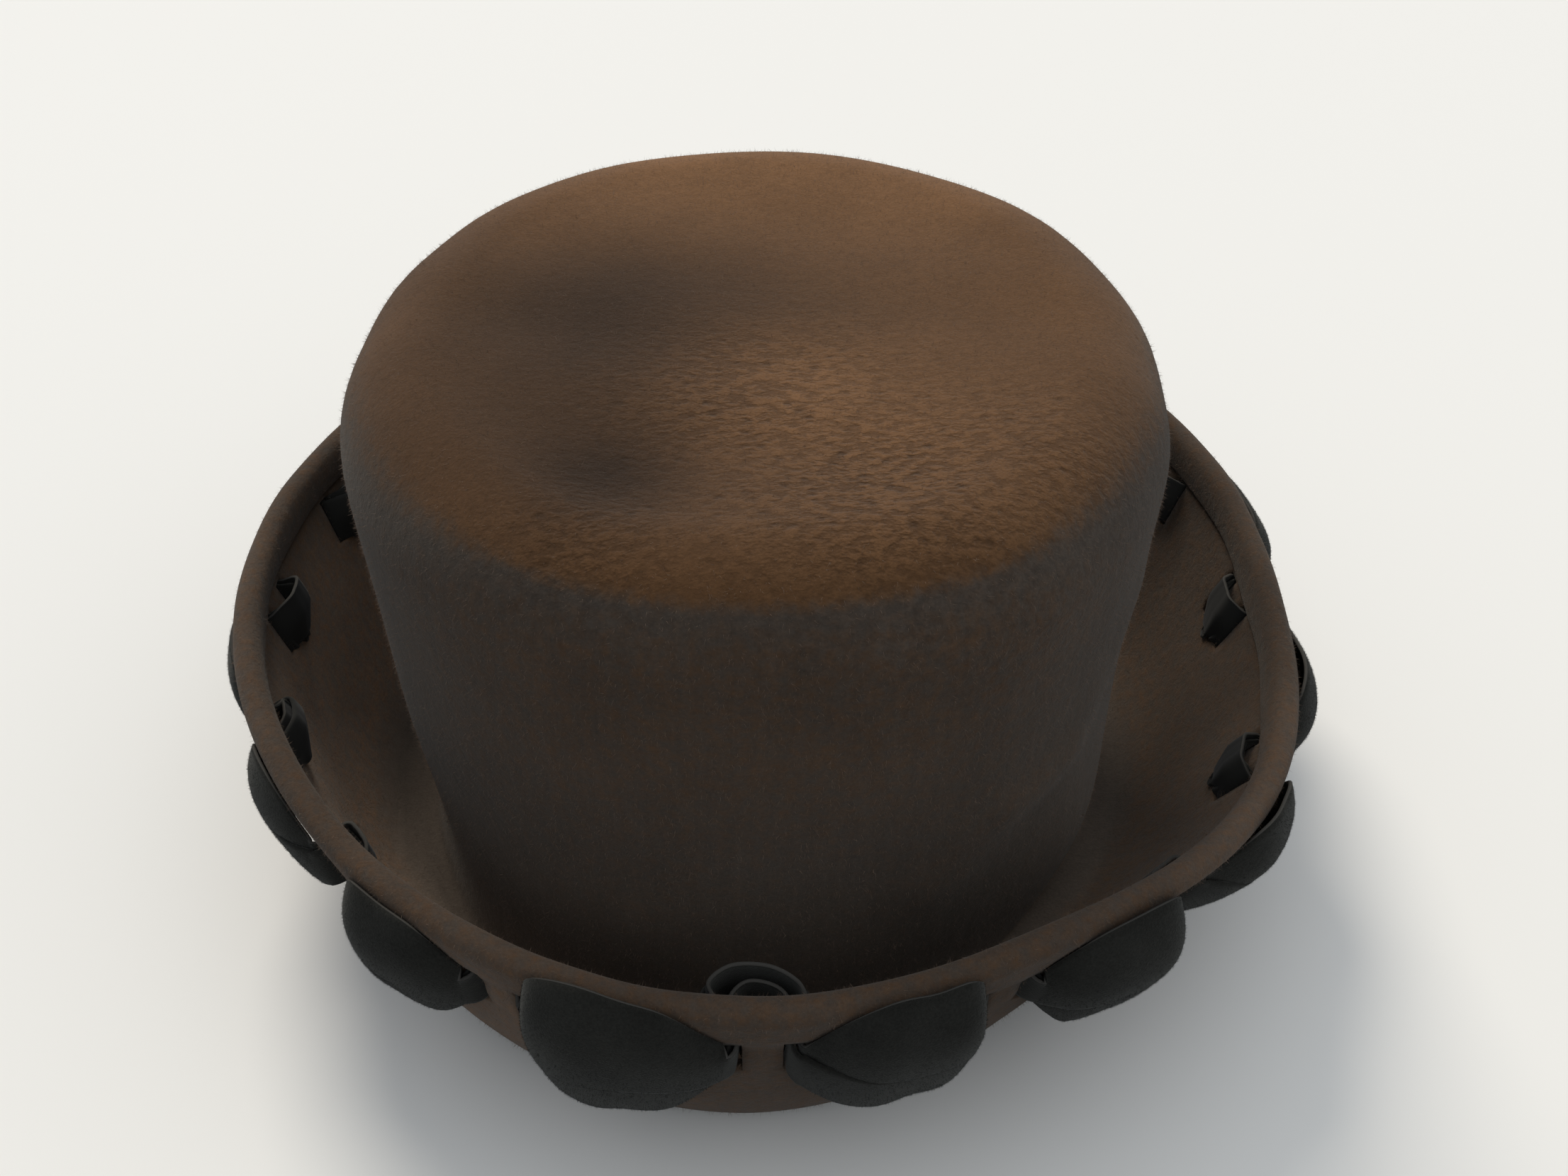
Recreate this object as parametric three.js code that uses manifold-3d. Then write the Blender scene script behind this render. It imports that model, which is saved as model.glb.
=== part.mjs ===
// A woman's breton hat: one piece of blocked fur felt with a tall flat-topped crown, a brim turned up
// all round with its edge turned in as a soft hem, and one velvet ribbon laced through pairs of slits
// in the brim so that it stands out in puffs outside and shows as short arches inside.
//
// Millimetres. The wearer faces +Y, +X is the wearer's right, +Z is up. The hat stands on the flattened
// ring under its brim, with the origin at the bottom centre of its box.
// Azimuths are degrees from centre back, growing towards the wearer's right.
import * as THREE from "three";
import { mergeVertices } from "three/addons/utils/BufferGeometryUtils.js";
import Module from "manifold-3d";

// ---------------------------------------------------------------- driving dimensions
const FELT = 2.6; // thickness of the blocked felt
const OVAL_POWER = 2.1; // 2 is an ellipse, more is squarer

// How finely the felt is faceted.
const AROUND = 56; // steps round the hat
const TIP_PARTS = [0, 0.35, 0.7, 1]; // from the tip's centre to where its edge turns down
const EDGE_ANGLES = [22.5, 45, 67.5, 90]; // round that edge
const WALL_PARTS = [0.25, 0.5, 0.75, 1]; // down the side wall
const TURN_STEPS = 3; // from the wall to the resting ring, where the dents fade out
const BOWL_STEPS = 4; // up the brim's turn-up
const ROLL_ANGLES = [0, 45, 90, 135, 180]; // over the brim's rolled edge

const CROWN = {
  height: 133,
  tipHalfWidth: 92,
  tipHalfLength: 101,
  footHalfWidth: 81,
  footHalfLength: 96,
  edgeRounding: 22, // radius from the tip into the side wall
  dish: 2.5, // the tip sinks this much inside its edge
  dishPower: 4, // higher keeps the dish flat out to its edge
  footHeight: 18, // where the wall starts to turn out into the brim
  taperPower: 1.3, // above 1 keeps the upper wall steep
};

const BRIM = {
  seatWidth: 5, // flat resting ring
  bowlRun: 6, // how far past the ring the turn-up starts
  turnRatio: 0.9, // tightness of that turn
  straight: 24, // upper stretch of the turn-up without curve
  rollRadius: 3.2, // the folded edge
  hemDepth: 7, // free edge of the hem, below the roll's centre
  hemEdge: 2.2, // thickness of the hem at its free edge
};

// The turned-up brim, a row for each 30 degrees: the centre of its rolled edge, how far the ring on
// which the hat rests reaches out from the crown's foot, and how far the felt lifts off the surface there.
const RIM = [
  { azimuth: -180, radius: 129, height: 68, seat: 10, lift: 0 },
  { azimuth: -150, radius: 125, height: 68, seat: 10, lift: 0 },
  { azimuth: -120, radius: 122, height: 66, seat: 10, lift: 0 },
  { azimuth: -90, radius: 121, height: 64, seat: 10, lift: 0 },
  { azimuth: -60, radius: 122, height: 62, seat: 10, lift: 0 },
  { azimuth: -30, radius: 126.5, height: 58, seat: 9.5, lift: 0 },
  { azimuth: 0, radius: 131, height: 56, seat: 12, lift: 0 },
  { azimuth: 30, radius: 128.5, height: 58, seat: 7.5, lift: 5 },
  { azimuth: 60, radius: 130, height: 53, seat: 8, lift: 8 },
  { azimuth: 90, radius: 126, height: 55, seat: 10, lift: 2 },
  { azimuth: 120, radius: 130, height: 61, seat: 10, lift: 0 },
  { azimuth: 150, radius: 131.5, height: 66, seat: 10, lift: 0 },
];

// Soft dents in the crown: where each one lies, how far it spreads and how deep it is.
// A negative depth is a swelling.
const DENTS = [
  { azimuth: 52, radius: 92, height: 32, spread: 18, depth: -6 },
  { azimuth: 4, radius: 98, height: 50, spread: 26, depth: 1.8 },
  { azimuth: -40, radius: 92, height: 60, spread: 16, depth: -1.4 },
  { azimuth: -22, radius: 68, height: 131, spread: 15, depth: 1.8 },
  { azimuth: 150, radius: 35, height: 131, spread: 22, depth: 1.2 },
];

const RIBBON = {
  thickness: 1.4,
  gathered: 1.9, // thickness where it is pinched through a slit
  slitHalf: 5.8, // half its height in a slit
  centreDepth: 15, // middle of the slits, below the roll's centre
  halfStrip: 5.2, // from the middle of a felt strip to the slit on either side
  stepsBetween: 2, // how finely it is faceted between two of its stations
};

const SLIT = { width: 4.2, length: 13.8, reach: 12 };

// The ribbon's puffs in order round the brim, each from the felt strip at its azimuth to the next.
// Tuck is how deep the arch behind that strip stands inside the brim. Bulge is how far the puff stands
// out of the felt, rise and drop are its edges above and below the middle of the slits, and peak is the
// part of its length at which it is fullest.
const PUFFS = [
  { azimuth: 1.5, tuck: 14, bulge: 9, rise: 22, drop: 17, peak: 0.65 },
  { azimuth: 24, tuck: 6, bulge: 8, rise: 20, drop: 14, peak: 0.6 },
  { azimuth: 46, tuck: 6, bulge: 7.5, rise: 19, drop: 13, peak: 0.4 },
  { azimuth: 68, tuck: 8, bulge: 9, rise: 18, drop: 16, peak: 0.45 },
  { azimuth: 95, tuck: 8, bulge: 8, rise: 18, drop: 16, peak: 0.5 },
  { azimuth: 118, tuck: 8, bulge: 8, rise: 18, drop: 16, peak: 0.5 },
  { azimuth: 140, tuck: 8, bulge: 8, rise: 18, drop: 17, peak: 0.5 },
  { azimuth: 162, tuck: 8, bulge: 8, rise: 19, drop: 16, peak: 0.5 },
  { azimuth: 184, tuck: 9, bulge: 8, rise: 18, drop: 17, peak: 0.5 },
  { azimuth: 206, tuck: 8, bulge: 8, rise: 18, drop: 16, peak: 0.5 },
  { azimuth: 228, tuck: 8, bulge: 7, rise: 18, drop: 17, peak: 0.5 },
  { azimuth: 250, tuck: 8, bulge: 4, rise: 14, drop: 18, peak: 0.5 },
  { azimuth: 272.5, tuck: 9, bulge: 4, rise: 15, drop: 17, peak: 0.5 },
  { azimuth: 294, tuck: 9, bulge: 7, rise: 17, drop: 15, peak: 0.45 },
  { azimuth: 315.5, tuck: 8, bulge: 7, rise: 20, drop: 14, peak: 0.45 },
  { azimuth: 337, tuck: 6, bulge: 9, rise: 24, drop: 16, peak: 0.4 },
];

// A puff's form along its own length, as parts of its bulge and of the height it gains over the slit.
const PUFF_FORM = [
  { part: 0.2, bulge: 0.75, gain: 0.75 },
  { part: 0.5, bulge: 1, gain: 1 },
  { part: 0.8, bulge: 0.75, gain: 0.75 },
];

// Where a puff leaves or reaches its slit: how far past the slit, how far out of the felt, and how much
// of its full height it has there.
const EXIT = { along: 2.4, out: 3.7, gain: 0.06 };

// Where an arch starts, just inside its slit: from the strip's middle, into the hat, and half its height.
const ENTRY = { along: 5.7, inside: 3.4, half: 5.9 };

// An arch's form: how far each place lies to the side of the strip's middle, as part of the half strip,
// and how deep it is, from 0 where the arch starts to 1 at the full tuck.
const ARCH_FORM = [
  { width: 1.3, depth: 0.5, half: 6.4 },
  { width: 0.6, depth: 1, half: 7 },
];

// The ribbon's two ends lap over each other inside the strip at centre back: along the brim and into the
// hat, in millimetres. The first puff's end lies under, the last puff's end goes over it.
const UNDER_END = [
  { along: -2.6, inside: 4.6, half: 7 },
  { along: -3.2, inside: 7.4, half: 7.5 },
  { along: 0.5, inside: 9.4, half: 7.5 },
  { along: 5.2, inside: 8.0, half: 7 },
  { along: 5.7, inside: 3.6, half: 5.9 },
  { along: 5.2, inside: 0, half: 5.8 },
];
const OVER_END = [
  { along: -5.2, inside: 0, half: 5.8 },
  { along: -6.0, inside: 3.6, half: 5.9 },
  { along: -9.5, inside: 9.5, half: 7.5 },
  { along: -4.5, inside: 13.5, half: 8.5 },
  { along: 4, inside: 13.8, half: 8.5 },
  { along: 9.8, inside: 10.5, half: 8 },
  { along: 11.5, inside: 5, half: 7.5 },
];

// ---------------------------------------------------------------- the felt's mid-line
const HALF = FELT / 2;
const STEP = RIM[1].azimuth - RIM[0].azimuth;
const closedCurve = (points) => new THREE.CatmullRomCurve3(points, true, "catmullrom");
const rimCurve = closedCurve(RIM.map((row) => new THREE.Vector3(row.radius, row.height, 0)));
const seatCurve = closedCurve(RIM.map((row) => new THREE.Vector3(row.seat, row.lift, 0)));

const radians = THREE.MathUtils.degToRad;

// Level direction away from the crown's axis.
function outward(azimuth) {
  return new THREE.Vector3(Math.sin(radians(azimuth)), -Math.cos(radians(azimuth)), 0);
}

function ovalRadius(halfWidth, halfLength, azimuth) {
  const across = Math.abs(Math.sin(radians(azimuth))) / halfWidth;
  const lengthwise = Math.abs(Math.cos(radians(azimuth))) / halfLength;
  return (across ** OVAL_POWER + lengthwise ** OVAL_POWER) ** (-1 / OVAL_POWER);
}

function footRadius(azimuth) {
  return ovalRadius(CROWN.footHalfWidth, CROWN.footHalfLength, azimuth);
}

// The turned-up brim in the section at one azimuth, as (distance from the axis, height): the centre of
// its rolled edge, the two directions along and across the felt, the felt's mid-line by the roll, and
// its mid-line at the outer edge of the resting ring.
function brimAt(azimuth) {
  const turn = THREE.MathUtils.euclideanModulo(azimuth - RIM[0].azimuth, 360);
  const rim = rimCurve.getPoint(turn / STEP / RIM.length);
  const ring = seatCurve.getPoint(turn / STEP / RIM.length);
  const roll = new THREE.Vector2(rim.x, rim.y);
  const seat = new THREE.Vector2(footRadius(azimuth) + ring.x, HALF + Math.max(ring.y, 0));
  const lean = Math.atan2(rim.x - seat.x - BRIM.bowlRun, rim.y - seat.y);
  const up = new THREE.Vector2(Math.sin(lean), Math.cos(lean));
  const inward = new THREE.Vector2(-Math.cos(lean), Math.sin(lean));
  const top = roll.clone().addScaledVector(inward, HALF - BRIM.rollRadius);
  return { roll, up, inward, top, seat };
}

// A point of the mid-line with its upper-side normal, from the direction in which the line runs there.
function linePoint(point, direction) {
  const tangent = direction.clone().normalize();
  return { point, normal: new THREE.Vector2(-tangent.y, tangent.x) };
}

// Points along a cubic curve at equal steps, without its start.
function curvePoints(start, leaving, arriving, end, steps) {
  const curve = new THREE.CubicBezierCurve(start, leaving, arriving, end);
  const points = [];
  for (let i = 1; i <= steps; i++) {
    points.push(linePoint(curve.getPoint(i / steps), curve.getTangent(i / steps)));
  }
  return points;
}

const level = new THREE.Vector2(1, 0);

function tipLine(azimuth) {
  const tipRadius = ovalRadius(CROWN.tipHalfWidth, CROWN.tipHalfLength, azimuth);
  const flat = tipRadius - CROWN.edgeRounding;
  const line = [];
  for (const part of TIP_PARTS) {
    const sink = CROWN.dish * (1 - part ** CROWN.dishPower);
    const point = new THREE.Vector2(flat * part, CROWN.height - HALF - sink);
    line.push(linePoint(point, level));
  }
  const arc = CROWN.edgeRounding - HALF;
  for (const angle of EDGE_ANGLES) {
    const normal = new THREE.Vector2(Math.sin(radians(angle)), Math.cos(radians(angle)));
    const centre = new THREE.Vector2(flat, CROWN.height - CROWN.edgeRounding);
    line.push({ point: centre.addScaledVector(normal, arc), normal });
  }
  return line;
}

function wallLine(azimuth) {
  const tipRadius = ovalRadius(CROWN.tipHalfWidth, CROWN.tipHalfLength, azimuth);
  const taper = footRadius(azimuth) - tipRadius;
  const fall = CROWN.height - CROWN.edgeRounding - CROWN.footHeight;
  const line = [];
  for (const part of WALL_PARTS) {
    const radius = tipRadius - HALF + taper * part ** CROWN.taperPower;
    const point = new THREE.Vector2(radius, CROWN.footHeight + fall * (1 - part));
    const slope = taper * CROWN.taperPower * part ** (CROWN.taperPower - 1);
    line.push(linePoint(point, new THREE.Vector2(slope, -fall)));
  }
  return line;
}

function turnLine(azimuth) {
  const { up, top, seat } = brimAt(azimuth);
  const wallEnd = new THREE.Vector2(footRadius(azimuth) - HALF, CROWN.footHeight);
  const seatStart = new THREE.Vector2(seat.x - BRIM.seatWidth, seat.y);
  const down = wallEnd.clone();
  down.y -= BRIM.turnRatio * (wallEnd.y - seat.y);
  const before = seatStart.clone();
  before.x -= BRIM.turnRatio * (seatStart.x - wallEnd.x);
  const straightEnd = top.clone().addScaledVector(up, -BRIM.straight);
  const after = seat.clone();
  after.x += BRIM.turnRatio * BRIM.bowlRun;
  const rising = straightEnd.clone();
  rising.addScaledVector(up, (-BRIM.turnRatio * (straightEnd.y - seat.y)) / up.y);
  return [
    ...curvePoints(wallEnd, down, before, seatStart, TURN_STEPS),
    linePoint(seat, level),
    ...curvePoints(seat, after, rising, straightEnd, BOWL_STEPS),
    linePoint(top.clone().addScaledVector(up, -BRIM.hemDepth), up),
  ];
}

// The outline of the rolled edge with its hem, from the hem's free edge round to the outer face.
function rollOutline(azimuth) {
  const { roll, up, inward, top } = brimAt(azimuth);
  const hemFoot = top.clone().addScaledVector(up, -BRIM.hemDepth);
  const outline = [hemFoot.addScaledVector(inward, HALF + BRIM.hemEdge)];
  for (const angle of ROLL_ANGLES) {
    const point = roll.clone().addScaledVector(inward, BRIM.rollRadius * Math.cos(radians(angle)));
    outline.push(point.addScaledVector(up, BRIM.rollRadius * Math.sin(radians(angle))));
  }
  return outline;
}

// ---------------------------------------------------------------- felt hat
function place(azimuth, sectionPoint) {
  const point = outward(azimuth).multiplyScalar(sectionPoint.x);
  point.z = sectionPoint.y;
  return point;
}

// How far the dents push a point of the crown in.
function dentDepth(point) {
  let depth = 0;
  for (const dent of DENTS) {
    const centre = outward(dent.azimuth).multiplyScalar(dent.radius);
    centre.z = dent.height;
    depth += dent.depth * Math.exp(-point.distanceToSquared(centre) / (2 * dent.spread ** 2));
  }
  return depth;
}

// The closed outline of the felt in one section, from the tip's top to its underside, in space.
function feltOutline(azimuth) {
  const line = [...tipLine(azimuth), ...wallLine(azimuth), ...turnLine(azimuth)];
  const crownPoints = line.length - turnLine(azimuth).length;
  const upper = [];
  const lower = [];
  line.forEach(({ point, normal }, index) => {
    const middle = place(azimuth, point);
    const across = place(azimuth, normal);
    const fade = THREE.MathUtils.clamp(1 - (index + 1 - crownPoints) / TURN_STEPS, 0, 1);
    middle.addScaledVector(across, -dentDepth(middle) * fade);
    upper.push(middle.clone().addScaledVector(across, HALF));
    lower.unshift(middle.clone().addScaledVector(across, -HALF));
  });
  const edge = rollOutline(azimuth).map((point) => place(azimuth, point));
  return [...upper, ...edge, ...lower];
}

function feltGeometry() {
  const outlines = [];
  for (let i = 0; i < AROUND; i++) outlines.push(feltOutline((360 * i) / AROUND));
  const last = outlines[0].length - 1;
  const positions = [];
  const triangle = (a, b, c) => positions.push(...a.toArray(), ...b.toArray(), ...c.toArray());
  for (let i = 0; i < AROUND; i++) {
    const here = outlines[i];
    const next = outlines[(i + 1) % AROUND];
    triangle(outlines[0][0], here[1], next[1]);
    for (let j = 1; j < last - 1; j++) {
      triangle(here[j], here[j + 1], next[j + 1]);
      triangle(here[j], next[j + 1], next[j]);
    }
    triangle(here[last - 1], outlines[0][last], next[last - 1]);
  }
  const geometry = new THREE.BufferGeometry();
  geometry.setAttribute("position", new THREE.Float32BufferAttribute(positions, 3));
  return mergeVertices(geometry, 1e-4);
}

// ---------------------------------------------------------------- slits
// Where the ribbon passes the felt: the felt's middle at the slits' depth, with the directions out of
// the felt and up along it.
function laceFrame(azimuth) {
  const { up, inward, top } = brimAt(azimuth);
  return {
    centre: place(azimuth, top.clone().addScaledVector(up, -RIBBON.centreDepth)),
    out: place(azimuth, inward.clone().negate()),
    up: place(azimuth, up),
  };
}

// The azimuth of a place beside a felt strip, given the distance along the brim.
function besideStrip(azimuth, along) {
  const { centre } = laceFrame(azimuth);
  return azimuth + THREE.MathUtils.radToDeg(along / Math.hypot(centre.x, centre.y));
}

function slitCutter(azimuth) {
  const { centre, out, up } = laceFrame(azimuth);
  const along = new THREE.Vector3().crossVectors(out, up);
  const cutter = new THREE.BoxGeometry(SLIT.width, SLIT.reach, SLIT.length);
  cutter.applyMatrix4(new THREE.Matrix4().makeBasis(along, out, up).setPosition(centre));
  cutter.deleteAttribute("normal");
  cutter.deleteAttribute("uv");
  return mergeVertices(cutter);
}

const wasm = await Module();
wasm.setup();

function toSolid(geometry) {
  const vertProperties = new Float32Array(geometry.attributes.position.array);
  const triVerts = new Uint32Array(geometry.index.array);
  return new wasm.Manifold(new wasm.Mesh({ numProp: 3, vertProperties, triVerts }));
}

function toGeometry(solid) {
  const { vertProperties, triVerts } = solid.getMesh();
  const geometry = new THREE.BufferGeometry();
  geometry.setAttribute("position", new THREE.BufferAttribute(vertProperties, 3));
  geometry.setIndex(new THREE.BufferAttribute(triVerts, 1));
  return geometry;
}

function slitFelt() {
  let felt = toSolid(feltGeometry());
  for (const { azimuth } of PUFFS) {
    for (const side of [-1, 1]) {
      const slit = slitCutter(besideStrip(azimuth, side * RIBBON.halfStrip));
      felt = felt.subtract(toSolid(slit));
    }
  }
  return toGeometry(felt);
}

// ---------------------------------------------------------------- velvet ribbon
// The ribbon outside the brim, from one felt strip to the next.
function puffStations(puff, nextAzimuth) {
  const start = besideStrip(puff.azimuth, RIBBON.halfStrip + EXIT.along);
  const end = besideStrip(nextAzimuth, -RIBBON.halfStrip - EXIT.along);
  const station = (azimuth, out, gain) => ({
    azimuth,
    out,
    rise: THREE.MathUtils.lerp(RIBBON.slitHalf, puff.rise, gain),
    drop: THREE.MathUtils.lerp(RIBBON.slitHalf, puff.drop, gain),
    thickness: RIBBON.thickness,
  });
  const middle = PUFF_FORM.map((form) => {
    const towardsPeak = 4 * (puff.peak - 0.5) * form.part * (1 - form.part);
    const part = form.part + towardsPeak;
    return station(THREE.MathUtils.lerp(start, end, part), puff.bulge * form.bulge, form.gain);
  });
  return [station(start, EXIT.out, EXIT.gain), ...middle, station(end, EXIT.out, EXIT.gain)];
}

// The ribbon inside the brim, behind the felt strip at this azimuth.
function innerStations(azimuth, rows) {
  return rows.map((row) => ({
    azimuth: besideStrip(azimuth, row.along),
    out: -row.inside,
    rise: row.half,
    drop: row.half,
    thickness: row.inside === 0 ? RIBBON.gathered : RIBBON.thickness,
  }));
}

// The arch behind one felt strip: through the first slit, round, and out through the second.
function archRows(tuck) {
  const nearSide = [{ along: RIBBON.halfStrip, inside: 0, half: RIBBON.slitHalf }, ENTRY];
  for (const { width, depth, half } of ARCH_FORM) {
    const inside = THREE.MathUtils.lerp(ENTRY.inside, tuck, depth);
    nearSide.push({ along: width * RIBBON.halfStrip, inside, half });
  }
  const farSide = nearSide.map((row) => ({ ...row, along: -row.along }));
  return [...farSide, ...nearSide.reverse()];
}

function ribbonStations() {
  const stations = innerStations(PUFFS[0].azimuth, UNDER_END);
  PUFFS.forEach((puff, index) => {
    const next = PUFFS[index + 1];
    const nextAzimuth = next ? next.azimuth : PUFFS[0].azimuth + 360;
    stations.push(...puffStations(puff, nextAzimuth));
    stations.push(...innerStations(nextAzimuth, next ? archRows(next.tuck) : OVER_END));
  });
  return stations;
}

function ribbonGeometry() {
  const stations = ribbonStations();
  const middles = stations.map(({ azimuth, out }) => {
    const frame = laceFrame(azimuth);
    return frame.centre.addScaledVector(frame.out, out);
  });
  const ups = stations.map(({ azimuth }) => laceFrame(azimuth).up);
  const sizes = stations.map((row) => new THREE.Vector3(row.rise, row.drop, row.thickness / 2));
  const smooth = (points) => new THREE.CatmullRomCurve3(points, false, "catmullrom");
  const [path, upCurve, sizeCurve] = [middles, ups, sizes].map(smooth);
  const steps = RIBBON.stepsBetween * (stations.length - 1);
  const rings = [];
  for (let i = 0; i <= steps; i++) {
    const middle = path.getPoint(i / steps);
    const up = upCurve.getPoint(i / steps).normalize();
    const side = new THREE.Vector3().crossVectors(path.getTangent(i / steps), up).normalize();
    const { x: rise, y: drop, z: half } = sizeCurve.getPoint(i / steps);
    const corner = (across, along) =>
      middle.clone().addScaledVector(side, across * half).addScaledVector(up, along);
    rings.push([corner(1, -drop), corner(1, rise), corner(-1, rise), corner(-1, -drop)]);
  }
  return ringsGeometry(rings);
}

// A closed body through rings of four corners, capped at both ends.
function ringsGeometry(rings) {
  const positions = rings.flat().flatMap((corner) => corner.toArray());
  const index = [];
  for (let i = 0; i < rings.length - 1; i++) {
    for (let j = 0; j < 4; j++) {
      const [a, b] = [4 * i + j, 4 * i + ((j + 1) % 4)];
      index.push(a, a + 4, b + 4, a, b + 4, b);
    }
  }
  const end = 4 * (rings.length - 1);
  index.push(0, 1, 2, 0, 2, 3, end, end + 2, end + 1, end, end + 3, end + 2);
  const geometry = new THREE.BufferGeometry();
  geometry.setAttribute("position", new THREE.Float32BufferAttribute(positions, 3));
  geometry.setIndex(index);
  return geometry;
}

// ---------------------------------------------------------------- the hat
function piece(name, geometry, material) {
  const mesh = new THREE.Mesh(geometry, material);
  mesh.name = name;
  return mesh;
}

const brownFelt = new THREE.MeshStandardMaterial({ color: 0x5a4231, roughness: 0.95, metalness: 0 });
const blackVelvet = new THREE.MeshStandardMaterial({ color: 0x1c1c1b, roughness: 0.9, metalness: 0 });

const hat = new THREE.Group();
hat.add(piece("felt_hat", slitFelt(), brownFelt));
hat.add(piece("velvet_ribbon", ribbonGeometry(), blackVelvet));

// The origin goes to the bottom centre of the whole hat's box.
const box = new THREE.Box3().setFromObject(hat);
const centre = box.getCenter(new THREE.Vector3());
hat.position.set(-centre.x, -centre.y, -box.min.z);

const part = new THREE.Group();
part.add(hat);
export default part;
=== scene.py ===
import math

import bpy
import numpy as np
from mathutils import Matrix, Vector


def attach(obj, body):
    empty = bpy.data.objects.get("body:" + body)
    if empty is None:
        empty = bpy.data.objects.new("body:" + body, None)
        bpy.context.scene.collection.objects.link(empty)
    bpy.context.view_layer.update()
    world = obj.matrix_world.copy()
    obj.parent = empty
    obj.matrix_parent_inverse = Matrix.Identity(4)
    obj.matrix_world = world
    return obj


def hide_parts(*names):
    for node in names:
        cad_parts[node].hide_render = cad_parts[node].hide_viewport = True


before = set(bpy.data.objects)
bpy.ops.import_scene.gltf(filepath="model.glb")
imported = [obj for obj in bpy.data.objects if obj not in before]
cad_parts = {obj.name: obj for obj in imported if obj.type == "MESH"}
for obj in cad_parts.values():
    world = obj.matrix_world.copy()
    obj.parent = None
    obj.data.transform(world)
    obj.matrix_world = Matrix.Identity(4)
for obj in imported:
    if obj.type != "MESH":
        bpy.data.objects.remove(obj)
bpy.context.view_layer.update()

# ---------------------------------------------------------------- camera
# It stands close behind the hat and above it, and looks down on the tip and into the brim.
CAMERA_PLACE = (0.00107, -0.35683, 0.33581)
LOOK_DOWN = 38.02
TILT = 0.6185
SENSOR = 36
LENS = 42.31

camera_data = bpy.data.cameras.new("camera")
camera_data.sensor_width = SENSOR
camera_data.lens = LENS
camera_data.clip_start = 0.01
camera = bpy.data.objects.new("camera", camera_data)
bpy.context.scene.collection.objects.link(camera)
aim = Matrix.Rotation(math.radians(90 - LOOK_DOWN), 4, "X")
aim = aim @ Matrix.Rotation(math.radians(TILT), 4, "Z")
camera.matrix_world = Matrix.Translation(CAMERA_PLACE) @ aim
bpy.context.scene.camera = camera

# ---------------------------------------------------------------- floor and lights
# A pale matt floor, which throws little light back. A broad warm light stands high in front of the hat,
# a very wide one overhead, and a cool room fills the rest.
FLOOR_HALF = 6.0
FLOOR_COLOUR = (0.79, 0.775, 0.725, 1)
FLOOR_BOUNCE = (0.3, 0.3, 0.3, 1)
ROOM_SEEN = (0.93, 0.93, 0.9, 1)
ROOM_LIGHT = (0.78, 0.87, 1.0, 1)
ROOM_STRENGTH = 0.56
WINDOW_AZIMUTH, WINDOW_HEIGHT = math.radians(-157), math.radians(43)


def new_piece(name, points, faces):
    mesh = bpy.data.meshes.new(name)
    mesh.from_pydata(points, [], faces)
    piece = bpy.data.objects.new(name, mesh)
    bpy.context.scene.collection.objects.link(piece)
    return piece


def new_paint(name, values):
    """A material, its nodes and its shader, with the values given set on the shader's sockets."""
    paint = bpy.data.materials.new(name)
    paint.use_nodes = True
    shader = paint.node_tree.nodes["Principled BSDF"]
    for socket, value in values.items():
        shader.inputs[socket].default_value = value
    return paint, paint.node_tree, shader


def node(tree, kind, inputs=(), **settings):
    """A shader node, with each of its inputs set to a value or joined to another node's output."""
    made = tree.nodes.new("ShaderNode" + kind)
    for name, value in settings.items():
        setattr(made, name, value)
    for socket, value in dict(inputs).items():
        if isinstance(value, bpy.types.NodeSocket):
            tree.links.new(value, made.inputs[socket])
        else:
            made.inputs[socket].default_value = value
    return made


def add_sun(name, energy, colour, place, spread):
    data = bpy.data.lights.new(name, "SUN")
    data.energy = energy
    data.color = colour
    data.angle = math.radians(spread)
    light = bpy.data.objects.new(name, data)
    light.location = place
    light.rotation_euler = (-Vector(place)).to_track_quat("-Z", "Y").to_euler()
    bpy.context.scene.collection.objects.link(light)


corners = [(-1, -1), (1, -1), (1, 1), (-1, 1)]
floor = new_piece("floor", [(x * FLOOR_HALF, y * FLOOR_HALF, 0) for x, y in corners], [(0, 1, 2, 3)])
floor_paint, tree, shader = new_paint("floor_paint", {"Base Color": FLOOR_COLOUR, "Roughness": 0.9})
bounce = node(tree, "BsdfDiffuse", {"Color": FLOOR_BOUNCE})
seen = node(tree, "LightPath").outputs["Is Camera Ray"]
either = node(tree, "MixShader", {0: seen, 1: bounce.outputs[0], 2: shader.outputs[0]})
tree.links.new(either.outputs[0], tree.nodes["Material Output"].inputs["Surface"])
floor.data.materials.append(floor_paint)

window_place = (
    math.sin(WINDOW_AZIMUTH) * math.cos(WINDOW_HEIGHT),
    -math.cos(WINDOW_AZIMUTH) * math.cos(WINDOW_HEIGHT),
    math.sin(WINDOW_HEIGHT),
)
add_sun("window", 2.15, (1.0, 0.93, 0.84), window_place, spread=24)
add_sun("ceiling", 0.7, (1.0, 0.95, 0.9), (0.3, -0.2, 1.0), spread=110)

world = bpy.data.worlds.new("room")
bpy.context.scene.world = world
world.use_nodes = True
room = world.node_tree
room.nodes.clear()
backdrop = node(room, "Background", {"Color": ROOM_SEEN, "Strength": 1.0})
glow = node(room, "Background", {"Color": ROOM_LIGHT, "Strength": ROOM_STRENGTH})
seen = node(room, "LightPath").outputs["Is Camera Ray"]
either = node(room, "MixShader", {0: seen, 1: glow.outputs[0], 2: backdrop.outputs[0]})
node(room, "OutputWorld", {"Surface": either.outputs[0]})
bpy.context.scene.view_settings.view_transform = "Standard"

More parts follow.
